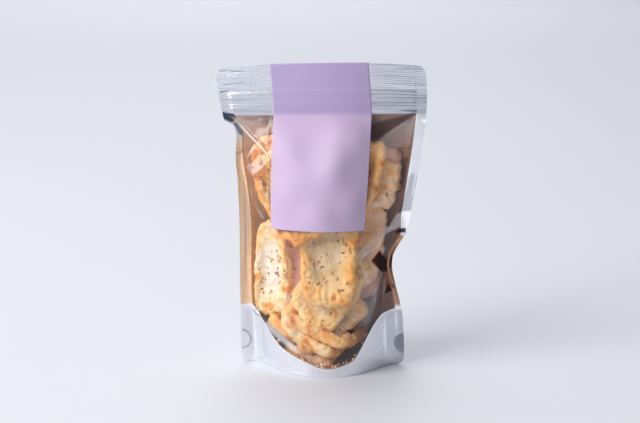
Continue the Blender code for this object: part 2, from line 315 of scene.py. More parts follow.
def shade(x, z, h):
    """Painted light and shade on the front, from -1 (painted shade) to 1 (painted highlights and reflections): painted
    shade on the foil grows towards the right.
    """
    rightwards = smooth_step((x - 6.0) / 46.0)
    on_base = smooth_step((BASE_WELD(x) - h) / 1.0)
    on_header = smooth_step((h - ZIP_FOOT) / 0.6)
    low_header = on_header * smooth_step((190.0 - h) / 4.0)
    # painted shade: the foil base lighter at the left and darker towards the right, and a darker band along the lower
    # header
    value = on_base * (0.10 - 0.42 * rightwards) - low_header * (0.16 + 0.12 * rightwards)
    # painted light and shade of the strokes
    for (x0, z0), (x1, z1), r0, r1, soft, tone in STROKES:
        away, along = along_line(x, z, ((x0, z0), (x1, z1)))
        weight = 1.0 - smooth_step((away - r0 - (r1 - r0) * along) / soft + 0.5)
        value += (tone - value) * weight
    # painted reflections and painted shade on the flat facets
    for corners, soft, tone in FACETS:
        value += (tone - value) * facet_share(x, z, corners, soft)
    # painted highlights along the creases, and painted dark lines where gleam is below zero
    for points, height, width, gleam in CREASES:
        away, along = along_line(x, z, points)
        weight = np.exp(-((away / (0.45 * width)) ** 2)) * np.sin(math.pi * np.clip(along, 0.04, 0.96)) ** 0.6
        value += (math.copysign(1.0, gleam) - value) * weight * abs(gleam)
    # painted highlight along the base weld, brighter on the left
    weld_line = np.exp(-(((h - BASE_WELD(x)) / 0.75) ** 2))
    value += (1.0 - value) * weld_line * (1.0 - 0.55 * smooth_step((x + 5.0) / 30.0))
    # painted shadow: a thin dark line along the bottom edge of the base, where it meets the floor
    value -= 0.45 * on_base * np.exp(-((h / 0.5) ** 2))
    # painted shade: a dark rim round each punch mark, and the inside of the right one darker
    ring = np.exp(-((punch_mark(x, h) / 0.55) ** 2))
    inside = smooth_step(punch_mark(x, h) / 0.8)
    right_side = smooth_step(x / 20.0)
    value += (-0.75 - value) * ring * (0.8 + 0.2 * right_side)
    value += (-0.06 - 0.66 * right_side - value) * inside * (1.0 - ring)
    return value


def painted_cracker_reflection(x, h):
    """How much painted reflection of the crackers beside the window the side welds carry: -1 on the left, 1 on the
    right.
    """
    left = smooth_step((h - 40.0) / 2.0) * smooth_step((164.0 - h) / 14.0)
    right = smooth_step((h - 40.0) / 4.0) * smooth_step((95.0 - h) / 6.0)
    return np.where(x < 0.0, -left, right)


def front_base(x, h):
    """Y of the front panel before it is stretched over the crackers."""
    share = bulge_share(x, h)
    left, right = weld_lines(h)
    inside = smooth_step(np.minimum(x - left, right - x) / 3.0)
    depth = FRONT_BULGE(h) * share + header_relief(h) * inside
    return bow(x, h) + fin_lean(x, h) - SEAL - depth


# Soft swellings under the label: centre (x, h), radius, height
SWELLINGS = (
    ((10.0, 138.0), 10.0, 2.2),
    ((-19.0, 122.0), 12.0, 1.6),
    ((24.0, 116.0), 8.0, 1.3),
    ((-2.0, 108.0), 10.0, 1.0),
)


def label_swell(x, h):
    total = np.zeros_like(x)
    for (x0, h0), radius, height in SWELLINGS:
        total += height * np.exp(-(((x - x0) ** 2 + (h - h0) ** 2) / radius**2))
    return total * label_share(x, h)


def front_relief(x, h):
    """What stands out from the front panel: creases, crimps, the weld's bead and punch marks."""
    left, right = weld_lines(h)
    inside = smooth_step(np.minimum(x - left, right - x) / 3.0)
    window = smooth_step((ZIP_FOOT + 1.0 - h) / 3.0)
    relief = crimp_relief(x, h) + weld_bead(x, h) + 0.35 * np.exp(-((punch_mark(x, h) / 0.8) ** 2))
    return relief + crease_relief(x, lifted(x, h)) * inside * window + label_swell(x, h)


def back_base(x, h):
    share = bulge_share(x, h)
    left, right = weld_lines(h)
    inside = smooth_step(np.minimum(x - left, right - x) / 3.0)
    return bow(x, h) + fin_lean(x, h) + SEAL + BACK_BULGE(h) * share + header_relief(h) * inside


# ---------------------------------------------------------------- the grid of a panel
def corner_trim(x, h):
    """How much the rounded corners take off a column's height."""
    left, right = edges(h)
    short = np.clip(CORNER - np.minimum(x - left, right - x), 0.0, CORNER)
    return CORNER - np.sqrt(CORNER**2 - short**2)


class Panel:
    """A grid over one side of the pouch, with rows that follow the base weld and the zip."""

    def __init__(self, fin, fill, base, window, header):
        self.fin, self.fill = fin, fill
        self.base, self.window, self.header = base, window, header
        j = np.arange(2 * fin + fill + 1)[None, :]
        foot_x = self.column_x(j, np.full(j.shape, 20.0))
        top_x = self.column_x(j, np.full(j.shape, HEIGHT))
        foot = corner_trim(foot_x, 20.0)
        self.top = HEIGHT - corner_trim(top_x, HEIGHT)
        self.weld = np.maximum(BASE_WELD(foot_x), foot + 1.0)
        zip_foot = np.full(j.shape, ZIP_FOOT)
        blocks = ((foot, self.weld, base), (self.weld, zip_foot, window), (zip_foot, self.top, header))
        rows = [low + (high - low) * k / count for low, high, count in blocks for k in range(count)]
        self.h = np.vstack(rows + [self.top])
        self.x = self.column_x(j, self.h)
        self.z = lifted(self.x, self.h)

    def column_x(self, j, h):
        """x of column j at height h: each side weld and the fill between them has its own columns."""
        left, right = edges(h)
        inner_left, inner_right = weld_lines(h)
        low = left + (inner_left - left) * j / self.fin
        middle = inner_left + (inner_right - inner_left) * (j - self.fin) / self.fill
        high = inner_right + (right - inner_right) * (j - self.fin - self.fill) / self.fin
        return np.where(j < self.fin, low, np.where(j > self.fin + self.fill, high, middle))

    def spot(self, x, h):
        """The fractional row and column at x and h, between the side welds."""
        inner_left, inner_right = weld_lines(h)
        j = self.fin + (x - inner_left) / (inner_right - inner_left) * self.fill
        near = np.clip(np.rint(j).astype(int), 0, self.h.shape[1] - 1)
        weld, top = self.weld[0, near], self.top[0, near]
        below = h / weld * self.base
        within = self.base + (h - weld) / (ZIP_FOOT - weld) * self.window
        above = self.base + self.window + (h - ZIP_FOOT) / (top - ZIP_FOOT) * self.header
        return np.where(h < weld, below, np.where(h > ZIP_FOOT, above, within)), j

    def sample(self, values, x, h):
        """Values of the grid at x and h, between its points."""
        rows, columns = values.shape
        i, j = self.spot(x, h)
        i, j = np.clip(i, 0, rows - 1.001), np.clip(j, 0, columns - 1.001)
        i0, j0 = i.astype(int), j.astype(int)
        u, v = i - i0, j - j0
        low = values[i0, j0] * (1 - v) + values[i0, j0 + 1] * v
        high = values[i0 + 1, j0] * (1 - v) + values[i0 + 1, j0 + 1] * v
        return low * (1 - u) + high * u

    def inner(self):
        """The columns between the side welds."""
        return slice(self.fin, self.fin + self.fill + 1)


# ---------------------------------------------------------------- mesh helpers
def add_mesh(name, points, faces, smooth=True):
    data = bpy.data.meshes.new(name)
    data.from_pydata([], [], [])
    points = np.asarray(points, np.float32).reshape(-1, 3) * MM
    faces = np.asarray(faces, np.int32)
    corners = faces.shape[1]
    data.vertices.add(len(points))
    data.vertices.foreach_set("co", points.ravel())
    data.loops.add(faces.size)
    data.loops.foreach_set("vertex_index", faces.ravel())
    data.polygons.add(len(faces))
    data.polygons.foreach_set("loop_start", np.arange(len(faces), dtype=np.int32) * corners)
    data.update(calc_edges=True)
    data.validate()
    if smooth:
        data.shade_smooth()
    made = bpy.data.objects.new(name, data)
    bpy.context.scene.collection.objects.link(made)
    return made


def add_value(piece, name, values):
    """A number for every vertex, which the materials read."""
    layer = piece.data.attributes.new(name, "FLOAT", "POINT")
    layer.data.foreach_set("value", np.asarray(values, np.float32).ravel())


def grid_faces(rows, columns, start=0, flip=False):
    i, j = np.meshgrid(np.arange(rows - 1), np.arange(columns - 1), indexing="ij")
    a = start + i * columns + j
    quad = np.stack([a, a + 1, a + columns + 1, a + columns], axis=-1).reshape(-1, 4)
    return quad[:, ::-1] if flip else quad


# ---------------------------------------------------------------- crackers
class Waves:
    """Smooth noise: a sum of sine waves in every direction."""

    def __init__(self, rng, longest, shortest, count):
        direction = rng.normal(size=(count, 3))
        direction /= np.linalg.norm(direction, axis=1)[:, None]
        length = np.exp(rng.uniform(math.log(shortest), math.log(longest), count))
        self.k = direction * (2 * math.pi / length)[:, None]
        self.phase = rng.uniform(0, 2 * math.pi, count)
        self.scale = math.sqrt(2.0 / count)

    def at(self, points):
        return np.sin(points @ self.k.T + self.phase).sum(axis=-1) * self.scale


def face_profile(steps, middle, rim):
    """Reach and height, in thicknesses, of the rings from the middle of one face to the edge."""
    flat = int(steps * 0.6)
    turn = np.linspace(0, math.pi / 2, steps - flat)
    reach = np.concatenate([np.linspace(0.04, 0.84, flat, endpoint=False), 0.84 + 0.16 * np.sin(turn)])
    round_off = np.sqrt(np.clip(1.0 - (np.maximum(reach - 0.84, 0.0) / 0.16) ** 2, 0.0, 1.0))
    return reach, (middle + (rim - middle) * smooth_step((reach - 0.36) / 0.44)) * round_off


def make_cracker(rng, width, length, toast, fineness, heart):
    """One puffed cracker, long axis Z and front face -Y: points, quads, rim, brown and dull values, where dull is
    painted shade in its middle.
    """
    around, front_rings, back_rings = FINENESS[fineness]
    thickness = THICKNESS * rng.uniform(0.9, 1.08)
    angle = np.linspace(0, 2 * math.pi, around, endpoint=False)
    c, s = np.cos(angle), np.sin(angle)
    reach = (np.abs(c) ** 4.6 + np.abs(s) ** 4.6) ** (-1 / 4.6)
    for k in range(2, 18):
        reach = reach * (1 + rng.normal(0, 0.022 / math.sqrt(k - 1)) * np.cos(k * angle + rng.uniform(0, 6.28)))
    outline = np.stack([c * reach * width / 2, s * reach * length / 2], axis=1)

    front_reach, front = face_profile(front_rings, 0.06, 0.56)
    back_reach, back = face_profile(back_rings, 0.30, 0.50)
    rim = np.concatenate([front_reach, back_reach[-2::-1]])
    height = np.concatenate([-front, back[-2::-1]]) * thickness
    rings = np.empty((len(rim), around, 3))
    rings[..., 0] = rim[:, None] * outline[:, 0]
    rings[..., 1] = height[:, None]
    rings[..., 2] = rim[:, None] * outline[:, 1]

    lumps, knobs, grains = Waves(rng, 15, 7, 16), Waves(rng, 5.0, 2.6, 28), Waves(rng, 2.3, 1.4, 32)
    rough = 0.35 + smooth_step((rim - 0.5) / 0.3)[:, None]
    knob = knobs.at(rings)
    swell = 0.34 * lumps.at(rings) + (0.25 * knob + 0.08 * grains.at(rings)) * rough
    edge = smooth_step((rim - 0.84) / 0.14)[:, None, None]
    sideways = rings * [1, 0, 1]
    sideways /= np.linalg.norm(sideways, axis=-1, keepdims=True) + 1e-6
    out = sideways * edge + np.sign(height)[:, None, None] * np.array([0.0, 1.0, 0.0]) * (1 - edge)
    patches = Waves(rng, 34, 12, 12).at(rings)
    spots = smooth_step((Waves(rng, 15, 7, 14).at(rings) - 0.6) / 1.6)
    golden = smooth_step((rim - 0.36) / 0.46)[:, None]
    brown = 0.31 * golden + 0.05 * knob * rough + 0.07 * patches + 0.42 * spots * (0.12 + 0.88 * golden)
    brown = brown + 0.55 * (toast - 0.15) + 0.85 * max(heart, 0.0) * (1.0 - golden)
    # painted shade in the middle of the crackers with a dull heart
    dull = np.broadcast_to(max(-heart, 0.0) * (1.0 - golden), brown.shape)
    rings = rings + out * swell[..., None]

    bent, twist = rng.uniform(-1.6, 1.6), rng.uniform(-2.5, 2.5)
    rings[..., 1] += bent * ((rings[..., 2] / (length / 2)) ** 2 - 0.3) + twist * rings[..., 0] * rings[..., 2] / 1000
    ends = np.array([rings[0].mean(axis=0), rings[-1].mean(axis=0)])
    points = np.vstack([rings.reshape(-1, 3), ends])
    k = np.arange(around)
    after = np.roll(k, -1)
    starts = (np.arange(len(rim) - 1) * around)[:, None]
    quads = np.stack([starts + k, starts + around + k, starts + around + after, starts + after], axis=-1)
    last, front_end, back_end = (len(rim) - 1) * around, len(points) - 2, len(points) - 1
    caps = [
        np.stack([k * 0 + front_end, k, after, after], axis=1),
        np.stack([last + after, last + k, k * 0 + back_end, k * 0 + back_end], axis=1),
    ]
    faces = np.vstack([quads.reshape(-1, 4)] + caps)
    ends = [rim[0], rim[-1]]
    rim = np.concatenate([np.repeat(rim, around), ends])
    brown, dull = (np.concatenate([v.ravel(), [v[0].mean(), v[-1].mean()]]) for v in (brown, dull))
    return points, faces, rim, brown, dull


def placed(points, centre, long_axis, facing):
    """Turns a cracker so that its length follows long_axis and its front looks along facing."""
    front = np.array(facing, float)
    front /= np.linalg.norm(front)
    up = np.array(long_axis, float)
    up -= front * (up @ front)
    up /= np.linalg.norm(up)
    side = np.cross(up, front)
    turn = np.column_stack([-side, -front, up])
    if np.linalg.det(turn) < 0:
        turn[:, 0] *= -1
    return points @ turn.T + np.array(centre, float)


# Every cracker: centre, long axis, facing, width, length, how toasted it is (0 to 1), how much a painted veil of dim
# reflected light covers it deep in the pouch (0 to 1), fineness, and how scorched (above 0) or how much painted shade
# dulls (below 0) its middle.  The first thirteen show through the window; the rest fill the pouch.
CRACKERS = (
    ((-18.5, -17.5, 119.5), (-0.50, 0.24, 0.84), (-0.22, -1.0, 0.22), 38, 66, 0.74, 0.0, 3, -0.45),
    ((7.6, -21.5, 80.3), (-0.02, 0.26, 1.0), (-0.05, -1.0, 0.26), 38, 67, 0.46, 0.0, 3, -0.6),
    ((-31.0, -8.0, 67.2), (0.02, 0.02, 1.0), (-0.42, -0.90, 0.02), 27, 63, 0.14, 0.0, 3, 0.0),
    ((8.0, -16.0, 59.0), (0.56, 0.15, 0.83), (0.05, -1.0, 0.22), 38, 60, 0.25, 0.0, 3, 0.0),
    ((17.0, -9.5, 68.5), (0.50, 0.10, 0.86), (0.12, -1.0, 0.15), 37, 60, 0.30, 0.40, 2, 0.0),
    ((3.5, -11.0, 38.0), (0.83, 0.0, 0.56), (0.15, -0.92, 0.35), 36, 58, 0.22, 0.10, 2, 0.0),
    ((2.6, -9.5, 28.0), (0.90, -0.20, -0.39), (0.37, -0.06, 0.93), 37, 48, 0.32, 0.10, 3, 0.0),
    ((-8.2, -7.2, 22.4), (0.87, -0.24, -0.45), (0.44, -0.06, 0.89), 35, 54, 0.26, 0.0, 3, 0.0),
    ((-5.0, -7.5, 9.4), (0.94, -0.20, -0.22), (0.25, -0.06, 0.95), 29, 35, 0.20, 0.40, 2, 0.0),
    ((22.2, -13.0, 130.5), (0.34, 0.10, 0.94), (0.35, -0.95, 0.14), 37, 60, 0.42, 0.06, 2, 0.95),
    ((22.5, -4.0, 131.0), (0.97, 0.10, -0.23), (0.15, -1.0, 0.16), 36, 63, 0.12, 0.35, 3, 0.0),
    ((24.5, -9.0, 88.0), (0.12, 0.12, 0.98), (0.20, -1.0, 0.16), 38, 56, 0.30, 0.50, 2, 0.0),
    ((-22.5, -4.6, 131.0), (-0.42, 0.06, 0.90), (-0.25, -1.0, 0.14), 37, 59, 0.80, 0.20, 2, 0.0),
    ((26.0, 2.0, 135.0), (0.98, 0.0, 0.05), (0.1, -1.0, 0.1), 30, 54, 0.20, 0.90, 1, 0.0),
    ((-8.0, -11.0, 72.0), (0.05, 0.0, 1.0), (-0.20, -1.0, 0.1), 32, 60, 0.10, 1.0, 1, 0.0),
    ((-24.0, 6.0, 66.0), (0.10, 0.0, 1.0), (0.20, -1.0, 0.0), 36, 60, 0.40, 0.6, 1, 0.0),
    ((20.0, 6.0, 72.0), (-0.2, 0.0, 1.0), (0.20, -1.0, 0.0), 36, 56, 0.55, 0.8, 1, 0.0),
    ((2.0, 8.0, 108.0), (0.3, 0.0, 1.0), (0.0, -1.0, 0.05), 38, 62, 0.45, 0.6, 1, 0.0),
    ((-14.0, 15.0, 62.0), (-0.3, -0.1, 1.0), (-0.05, -1.0, -0.1), 38, 60, 0.45, 0.6, 1, 0.0),
    ((15.0, 14.0, 60.0), (0.3, -0.1, 1.0), (0.05, -1.0, -0.1), 38, 60, 0.45, 0.6, 1, 0.0),
    ((2.0, 9.0, 20.0), (1.0, 0.0, 0.05), (0.0, -0.1, 1.0), 34, 60, 0.45, 0.6, 1, 0.0),
)
FINENESS = {1: (60, 14, 8), 2: (96, 24, 12), 3: (144, 36, 16)}  # points around, rings, rings behind
THICKNESS = 8.2
SHAPES = {0: 31}  # crackers whose random shape isn't the one of their own number


def dense(points, quads, steps=3):
    """Points all over a mesh's faces."""
    a, b, c, d = (points[quads[:, k]] for k in range(4))
    places = (np.arange(steps) + 0.5) / steps
    return np.vstack([(1 - u) * ((1 - v) * a + v * b) + u * ((1 - v) * d + v * c) for u in places for v in places])


def make_crackers():
    """All the crackers as one mesh, the sesame seeds on them as another, and points all over them."""
    points, quads, depths, browns, dulls, surfaces = [], [], [], [], [], []
    seed_spots = []
    start = 0
    for number, cracker in enumerate(CRACKERS):
        centre, long_axis, facing, width, length, toast, depth, fineness, heart = cracker
        rng = np.random.default_rng(SHAPES.get(number, number))
        body, faces, rim, brown, dull = make_cracker(rng, width, length, toast, fineness, heart)
        body = placed(body, centre, long_axis, facing)
        surface = dense(body, faces)
        if DEBUG:
            report(centre, surface)
        points.append(body)
        surfaces.append(surface)
        quads.append(faces + start)
        depths.append(np.full(len(body), depth))
        browns.append(brown)
        dulls.append(dull)
        count = round(SEED_COUNTS[fineness] * (1.0 - 0.7 * depth))
        seed_spots += seed_places(rng, body, faces, rim, count)
        start += len(body)
    piece = add_polygons("crackers", np.vstack(points), np.vstack(quads))
    add_value(piece, "depth", np.concatenate(depths))
    add_value(piece, "brown", np.concatenate(browns))
    add_value(piece, "dull", np.concatenate(dulls))
    seeds = scatter("sesame_seeds", seed_spots, rng, seed_shape())
    return piece, seeds, np.vstack(surfaces)


DEBUG = False


def report(centre, surface):
    front = (front_base(surface[:, 0], surface[:, 2]) - surface[:, 1]).max()
    back = (surface[:, 1] - back_base(surface[:, 0], surface[:, 2])).max()
    print("CRACKER", centre, "front excess %.1f" % front, "back excess %.1f" % back)


def add_polygons(name, points, quads):
    """A mesh of quads, where a quad that repeats its last corner is a triangle."""
    triangle = quads[:, 2] == quads[:, 3]
    data = bpy.data.meshes.new(name)
    faces = [tuple(q) for q in quads[~triangle]] + [tuple(q[:3]) for q in quads[triangle]]
    data.from_pydata(np.asarray(points) * MM, [], faces)
    data.shade_smooth()
    made = bpy.data.objects.new(name, data)
    bpy.context.scene.collection.objects.link(made)
    return made


def seed_shape(around=7, rings=4):
    """A unit sesame seed, pointed at one end: points and quads."""
    points, faces = [], []
    for i in range(rings + 1):
        t = i / rings
        z = math.cos(math.pi * t)
        r = math.sin(math.pi * t) * (1.0 - 0.28 * z)
        for j in range(around):
            a = 2 * math.pi * j / around
            points.append((r * math.cos(a), r * math.sin(a), z))
    for i in range(rings):
        for j in range(around):
            a = i * around + j
            b = i * around + (j + 1) % around
            faces.append((a, b, b + around, a + around))
    return np.array(points), np.array(faces)


def scatter(name, spots, rng, shape):
    """Copies of a small shape: spots are (point, normal, direction, three half sizes)."""
    unit, faces = shape
    points, quads, tones = [], [], []
    for k, (point, normal, along, sizes) in enumerate(spots):
        across = np.cross(normal, along)
        across /= np.linalg.norm(across) + 1e-9
        along = np.cross(across, normal)
        turn = np.column_stack([across * sizes[0], normal * sizes[1], along * sizes[2]])
        points.append(unit @ turn.T + point)
        quads.append(faces + k * len(unit))
        tones.append(np.full(len(unit), rng.uniform()))
    piece = add_mesh(name, np.vstack(points), np.vstack(quads))
    add_value(piece, "tone", np.concatenate(tones))
    return piece


SEED_COUNTS = {1: 16, 2: 50, 3: 100}
SEED_CLUSTERS = 6


def seed_places(rng, body, faces, rim, count):
    """Where seeds lie on one cracker: mostly on its flat middle, in loose clusters, half sunk."""
    a, b, c, d = (body[faces[:, k]] for k in range(4))
    normal = np.cross(c - a, b - d)
    area = np.linalg.norm(normal, axis=1)
    middle = (a + b + c + d) / 4
    weight = area * (0.12 + smooth_step((0.86 - rim[faces[:, 0]]) / 0.2))
    nearness = np.zeros(len(faces))
    for k in rng.choice(len(faces), SEED_CLUSTERS, p=weight / weight.sum()):
        nearness += np.exp(-(np.linalg.norm(middle - middle[k], axis=1) / 4.5) ** 2)
    weight = weight * (0.30 + 2.2 * nearness)
    spots = []
    for k in rng.choice(len(faces), count, p=weight / weight.sum()):
        out = normal[k] / (area[k] + 1e-9)
        size = rng.uniform(0.45, 1.15)
        sizes = (0.75 * size * rng.uniform(0.7, 1.2), 0.42 * size, 1.20 * size)
        spots.append((middle[k] - out * rng.uniform(0.10, 0.28), out, rng.normal(size=3), sizes))
    return spots


def crumb_shape(rng, around=9, rings=6):
    """A unit crumb: a lumpy ball."""
    points, faces = seed_shape(around, rings)
    lumps = Waves(rng, 2.4, 1.0, 12)
    return points * (1.0 + 0.16 * lumps.at(points))[:, None], faces


def make_crumbs(panel, front):
    """Crumbs in the corner between the front film and the gusset, along the base weld."""
    rng = np.random.default_rng(5)
    x = np.concatenate([rng.uniform(-30, 32, 26), rng.normal(13, 7, 30), rng.normal(-15, 4, 16)])
    h = BASE_WELD(x) + rng.exponential(0.8, len(x)) + 0.3
    size = rng.uniform(0.35, 1.1, len(x)) ** 1.5
    y = panel.sample(front, x, h) + size + rng.uniform(0.3, 3.0, len(x))
    turns = rng.normal(size=(len(x), 2, 3))
    turns /= np.linalg.norm(turns, axis=-1, keepdims=True)
    spots = [
        (np.array([x[k], y[k], h[k]]), turns[k, 0], turns[k, 1], size[k] * rng.uniform(0.6, 1.1, 3))
        for k in range(len(x))
    ]
    return scatter("crumbs", spots, rng, crumb_shape(rng))


# ---------------------------------------------------------------- the film over the crackers
CLEARANCE = 0.35
CELL = 0.57  # about the spacing of the front panel's grid


def highest_near(values, rounds):
    """The highest value within so many grid steps."""
    out = values.copy()
    for k in range(rounds):
        out[1:] = np.maximum(out[1:], out[:-1])
        out[:-1] = np.maximum(out[:-1], out[1:])
        out[:, 1:] = np.maximum(out[:, 1:], out[:, :-1])
        out[:, :-1] = np.maximum(out[:, :-1], out[:, 1:])
    return out


def blurred(values, rounds):
    out = values.copy()
    for _ in range(rounds):
        padded = np.pad(out, 1, mode="edge")
        out = (padded[:-2, 1:-1] + padded[2:, 1:-1] + padded[1:-1, :-2] + padded[1:-1, 2:]) / 4
    return out


def obstacles(panel, base, points, side):
    """How far the crackers stand out past a panel, at each of its grid points."""
    i, j = panel.spot(points[:, 0], points[:, 2])
    i, j = np.rint(i).astype(int), np.rint(j).astype(int)
    ends = panel.inner()
    good = (i >= 0) & (i < panel.base + panel.window) & (j > ends.start) & (j < ends.stop - 1)
    i, j = i[good], j[good]
    need = np.zeros_like(base)
    np.maximum.at(need, (i, j), side * (points[good, 1] - base[i, j]) + CLEARANCE)
    return highest_near(need, 1)


def relaxed(need, panel, reach, rounds, cell):
    """A taut sheet over bumps: it touches them all and settles over about reach between them."""
    keep = 1.0 - (cell / (2.0 * reach)) ** 2
    ends = panel.inner()
    free = np.zeros_like(need)
    free[1 : panel.base + panel.window, ends.start + 1 : ends.stop - 1] = 1.0
    need = need * free
    sheet = need.copy()
    for _ in range(rounds):
        around = (sheet[:-2, 1:-1] + sheet[2:, 1:-1] + sheet[1:-1, :-2] + sheet[1:-1, 2:]) / 4
        sheet[1:-1, 1:-1] = np.maximum(need[1:-1, 1:-1], around * keep * free[1:-1, 1:-1])
    return sheet


def front_push(panel, base, points):
    """How far the crackers push the front out; under the stiff label it makes only broad bumps."""
    need = obstacles(panel, base, points, -1.0)
    wide = np.where(panel.h > panel.weld, highest_near(need, 3), need)
    film = np.maximum(blurred(relaxed(wide, panel, 9.0, 500, CELL), 20), blurred(need, 2))
    stiff = relaxed(highest_near(need, 5), panel, 30.0, 900, CELL)
    stiff = np.maximum(blurred(stiff, 50), blurred(need, 2))
    share = label_share(panel.x, panel.h)
    return film * (1 - share) + stiff * share


def back_push(panel, base, points):
    need = obstacles(panel, base, points, 1.0)
    return blurred(relaxed(highest_near(need, 3), panel, 30.0, 500, 2 * CELL), 12)


def make_film(panel, y):
    """The front of the pouch: clear film in the window, welded to foil along its edges."""
    rows, columns = panel.x.shape
    piece = add_mesh("film_front", np.stack([panel.x, y, panel.z], axis=-1), grid_faces(rows, columns))
    i, j = np.meshgrid(np.arange(rows - 1), np.arange(columns - 1), indexing="ij")
    ends = panel.inner()
    clear = (i >= panel.base) & (i < panel.base + panel.window) & (j >= ends.start) & (j < ends.stop - 1)
    slots = np.where(clear, 0, np.where(i >= panel.base + panel.window, 2, 1))
    for material in (clear_film(), welded_foil(), crimped_foil()):
        piece.data.materials.append(material)
    piece.data.polygons.foreach_set("material_index", slots.ravel().astype(np.int32))
    # painted light and shade of the front, read by the film and foil materials
    add_value(piece, "shade", shade(panel.x, panel.z, panel.h))
    # painted reflection of the crackers on the side welds
    add_value(piece, "warm", painted_cracker_reflection(panel.x, panel.h))
    return piece


def two_faced(piece, outside, inside, thickness):
    """Gives an open sheet a thickness, with another material on its inner face."""
    piece.data.materials.append(outside)
    piece.data.materials.append(inside)
    thicken = piece.modifiers.new("thickness", "SOLIDIFY")
    thicken.thickness = thickness * MM
    thicken.offset = -1.0
    thicken.material_offset = 1


FOIL = 0.12


def make_back(panel, y):
    points = np.stack([panel.x, y, panel.z], axis=-1)
    piece = add_mesh("foil_back", points, grid_faces(*panel.x.shape, flip=True))
    two_faced(piece, foil(), lining(), FOIL)
    return piece


GUSSET_ROWS = 30


FLOOR_CELL = 1.6


def lowest_above(points, x, y):
    """How low the crackers come down to the gusset at x and y."""
    size = int(200 / FLOOR_CELL)
    lowest = np.full((size, size), 100.0)
    i, j = ((points[:, k] / FLOOR_CELL).round().astype(int) + size // 2 for k in range(2))
    np.minimum.at(lowest, (i, j), points[:, 2])
    lowest = -highest_near(-lowest, 2)
    i, j = ((values / FLOOR_CELL).round().astype(int) + size // 2 for values in np.broadcast_arrays(x, y))
    return lowest[i, j]


def make_gusset(panel, front, back_panel, back, points):
    """The floor of the pouch: foil from the front weld over its fold to the back weld."""
    gx, weld = panel.x[panel.base, panel.inner()], panel.h[panel.base, panel.inner()]
    y_front = front[panel.base, panel.inner()] + 0.3
    y_back = back_panel.sample(back, gx, weld) - 0.3
    left, right = weld_lines(20.0)
    t = np.abs(gx - (left + right) / 2) / ((right - left) / 2)
    fold = np.minimum(1.2 + 38.0 * smooth_step((t - 0.45) / 0.55) ** 1.3, weld)
    v = np.linspace(-1, 1, GUSSET_ROWS + 1)[:, None]
    share = np.abs(v) ** 2.2
    z = fold * (1 - share) + weld * share
    y = y_front + (y_back - y_front) * (v + 1) / 2
    z = np.where(np.abs(v) < 1.0, np.minimum(z, np.maximum(lowest_above(points, gx, y) - 0.6, 0.4)), z)
    sheet = np.stack([np.broadcast_to(gx, z.shape), y, z], axis=-1)
    piece = add_mesh("foil_gusset", sheet, grid_faces(*z.shape))
    two_faced(piece, lining(), foil(), FOIL)
    return piece


# ---------------------------------------------------------------- the label
LABEL_LEFT = curve((96, -30.2), (130, -30.6), (172, -31.0), (206, -33.0))
LABEL_RIGHT = curve((96, 31.0), (130, 33.2), (172, 34.6), (190, 33.6), (206, 32.2))
LABEL_FOOT, LABEL_FOOT_LEAN = 98.6, -0.016
LABEL_TAIL = 156.0
LABEL_COLUMNS, LABEL_ROWS, LABEL_TAIL_ROWS = 90, 160, 66
PAPER = 0.22
PAPER_GAP = 0.15


def label_share(x, h):
    """1 under the label and 0 away from it."""
    inside = np.minimum(x - LABEL_LEFT(h), LABEL_RIGHT(h) - x)
    inside = np.minimum(inside, h - LABEL_FOOT - LABEL_FOOT_LEAN * x)
    return smooth_step((inside + 3.5) / 3.0)


def label_x(height):
    across = np.linspace(0.0, 1.0, LABEL_COLUMNS + 1)
    return LABEL_LEFT(height) + (LABEL_RIGHT(height) - LABEL_LEFT(height)) * across


def make_label(panel, front, back_panel, back):
    """A strip of paper that lies on the front, goes over the top edge and ends on the back."""
    up = np.linspace(0.0, 1.0, LABEL_ROWS + 1)[:, None]
    foot = LABEL_FOOT + LABEL_FOOT_LEAN * label_x(LABEL_FOOT)
    front_h = foot + (HEIGHT - 0.2 - foot) * up
    front_x = label_x(front_h)
    front_y = blurred(panel.sample(front, front_x, front_h), 3) - PAPER_GAP
    back_h = np.linspace(HEIGHT - 0.2, LABEL_TAIL, LABEL_TAIL_ROWS + 1)[:, None] + 0 * foot
    back_x = label_x(back_h)
    back_y = blurred(back_panel.sample(back, back_x, back_h), 3) + PAPER_GAP
    turn = []
    for angle in np.linspace(0, math.pi, 6)[1:-1]:
        y = front_y[-1] * (1 + math.cos(angle)) / 2 + back_y[0] * (1 - math.cos(angle)) / 2
        top_x = label_x(HEIGHT)
        top_z = lifted(top_x, np.full_like(top_x, HEIGHT)) + 0.35 * math.sin(angle)
        turn.append(np.stack([top_x, y, top_z], axis=-1))
    outer = np.concatenate([
        np.stack([front_x, front_y, lifted(front_x, front_h)], axis=-1),
        np.array(turn),
        np.stack([back_x, back_y, lifted(back_x, back_h)], axis=-1),
    ])
    piece = add_mesh("label_paper", outer, grid_faces(*outer.shape[:2]))
    thicken = piece.modifiers.new("thickness", "SOLIDIFY")
    thicken.thickness = PAPER * MM
    thicken.offset = 1.0
    piece.data.materials.append(paper())
    return piece


